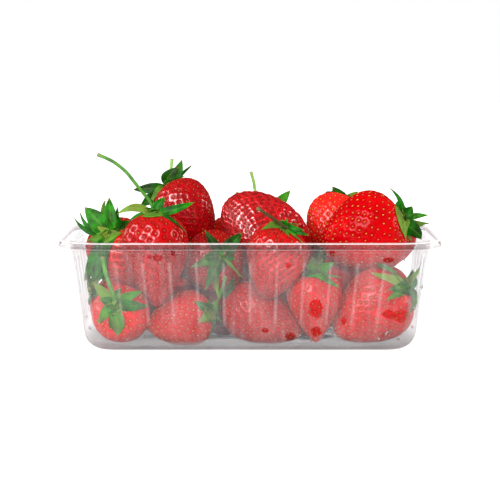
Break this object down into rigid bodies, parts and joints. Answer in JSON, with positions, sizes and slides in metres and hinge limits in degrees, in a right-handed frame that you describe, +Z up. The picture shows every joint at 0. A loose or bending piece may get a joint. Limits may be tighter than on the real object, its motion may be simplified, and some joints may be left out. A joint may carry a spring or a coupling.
{
  "type": "punnet of strawberries",
  "caption": "Clear fluted plastic tray with a turned-down rim, filled above its rim with a loose heap of fresh ripe berries, some with long green stems.",
  "frame": {"origin": "centre of the bounding box at its lowest level, under the middle of the tray's foot band", "axes": "+X along the tray's long side, +Y towards the back of the tray, +Z up"},
  "size_m": [0.19, 0.118, 0.0973],
  "materials": {
    "clear_plastic": "clear thermoformed sheet, glossy, a little hazy",
    "berry_flesh": "glossy ripe skin with small dimples",
    "berry_seed": "golden seeds",
    "calyx_leaf": "satin green leaf, darker and drier on some",
    "berry_stem": "pale green stem with a brown cut end",
    "water": "small clear droplets"
  },
  "bodies": {
    "root": {"tray": "clear_plastic", "strawberries": "berry_flesh"}
  },
  "joints": []
}
